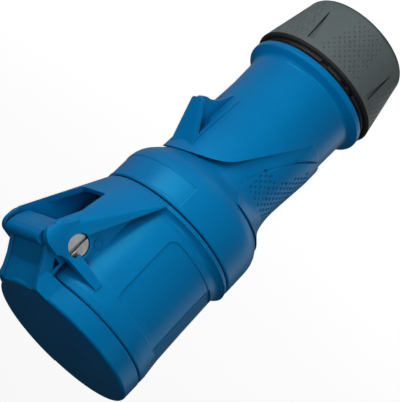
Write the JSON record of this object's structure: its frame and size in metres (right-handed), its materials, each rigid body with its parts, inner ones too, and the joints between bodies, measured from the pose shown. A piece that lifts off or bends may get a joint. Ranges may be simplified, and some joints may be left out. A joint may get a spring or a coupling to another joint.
{
  "type": "cable splice connector",
  "caption": "Blue industrial cable connector with a spring-loaded hinged lid, waisted grip with hook fin and a grey gland nut.",
  "frame": {"origin": "centre of the cable entry at the rear face of the gland nut, which the part stands on", "axes": "+Z along the axis towards the lid, +Y from the axis to the hinge, X along the hinge pin"},
  "size_m": [0.0584, 0.0722, 0.1595],
  "materials": {
    "blue_plastic": "satin",
    "grey_plastic": "fine grain",
    "black_plastic": "satin",
    "insert_plastic": "satin",
    "pale_plastic": "satin",
    "black_rubber": "matte",
    "contact_brass": "machined",
    "screw_steel": "plated"
  },
  "bodies": {
    "housing": {"rear_housing": "blue_plastic", "front_housing": "blue_plastic", "housing_seal": "black_rubber", "insert_base": "insert_plastic", "contact_insert": "insert_plastic", "insert_ring": "insert_plastic", "contact_sleeve_line": "contact_brass", "contact_sleeve_neutral": "contact_brass", "contact_sleeve_earth": "contact_brass", "terminal_screw_line": "screw_steel", "terminal_screw_neutral": "screw_steel", "terminal_screw_earth": "screw_steel", "hinge_pin": "screw_steel", "pin_clip": "screw_steel", "lid_spring": "screw_steel", "clamp_cage": "pale_plastic", "cable_seal": "black_rubber"},
    "lid": {"lid": "blue_plastic", "lid_gasket": "black_rubber"},
    "ring": {"pressure_ring": "pale_plastic"},
    "nut": {"gland_nut_core": "black_plastic", "gland_nut_grip": "grey_plastic"}
  },
  "joints": [
    {"name": "lid_swing", "type": "hinge", "parent": "housing", "child": "lid", "pos_m": [0, 0.0314, 0.1398], "axis": [-1, 0, 0], "range_deg": [0, 92], "stiffness_Nm_per_rad": 0.05, "springref_deg": -57.3, "deforming": ["lid_spring"]},
    {"name": "nut_travel", "type": "slide", "parent": "housing", "child": "ring", "axis": [0, 0, -1], "range_m": [0, 0.006]},
    {"name": "nut_turn", "type": "hinge", "parent": "ring", "child": "nut", "pos_m": [0, 0, 0], "axis": [0, 0, -1], "range_deg": [0, 720]}
  ],
  "couplings": [
    {"joint": "nut_turn", "follows": "nut_travel", "rad_per_m": 2094.4}
  ]
}
